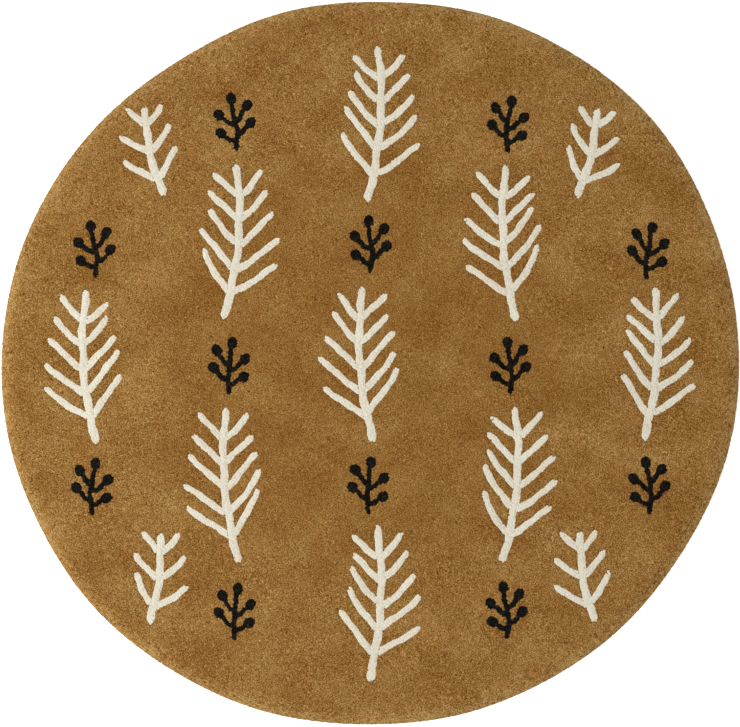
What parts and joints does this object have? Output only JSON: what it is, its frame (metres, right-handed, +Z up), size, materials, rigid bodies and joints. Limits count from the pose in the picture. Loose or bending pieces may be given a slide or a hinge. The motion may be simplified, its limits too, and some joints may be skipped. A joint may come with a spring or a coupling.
{
  "type": "round kids rug",
  "caption": "Round tufted kids' rug of short, dense cut wool pile, lying flat, with a slightly uneven outline and a softly rounded pile edge.",
  "frame": {"origin": "on the floor, under the middle of the rug's bounding box, in the plane of its flat underside", "axes": "+Z up out of the pile, +Y towards the top edge of the design, +X to the right of the design"},
  "size_m": [1.21, 1.1852, 0.016],
  "materials": {
    "wool_pile": "short cut wool pile, matt"
  },
  "bodies": {
    "root": {"rug": "wool_pile"}
  },
  "joints": []
}
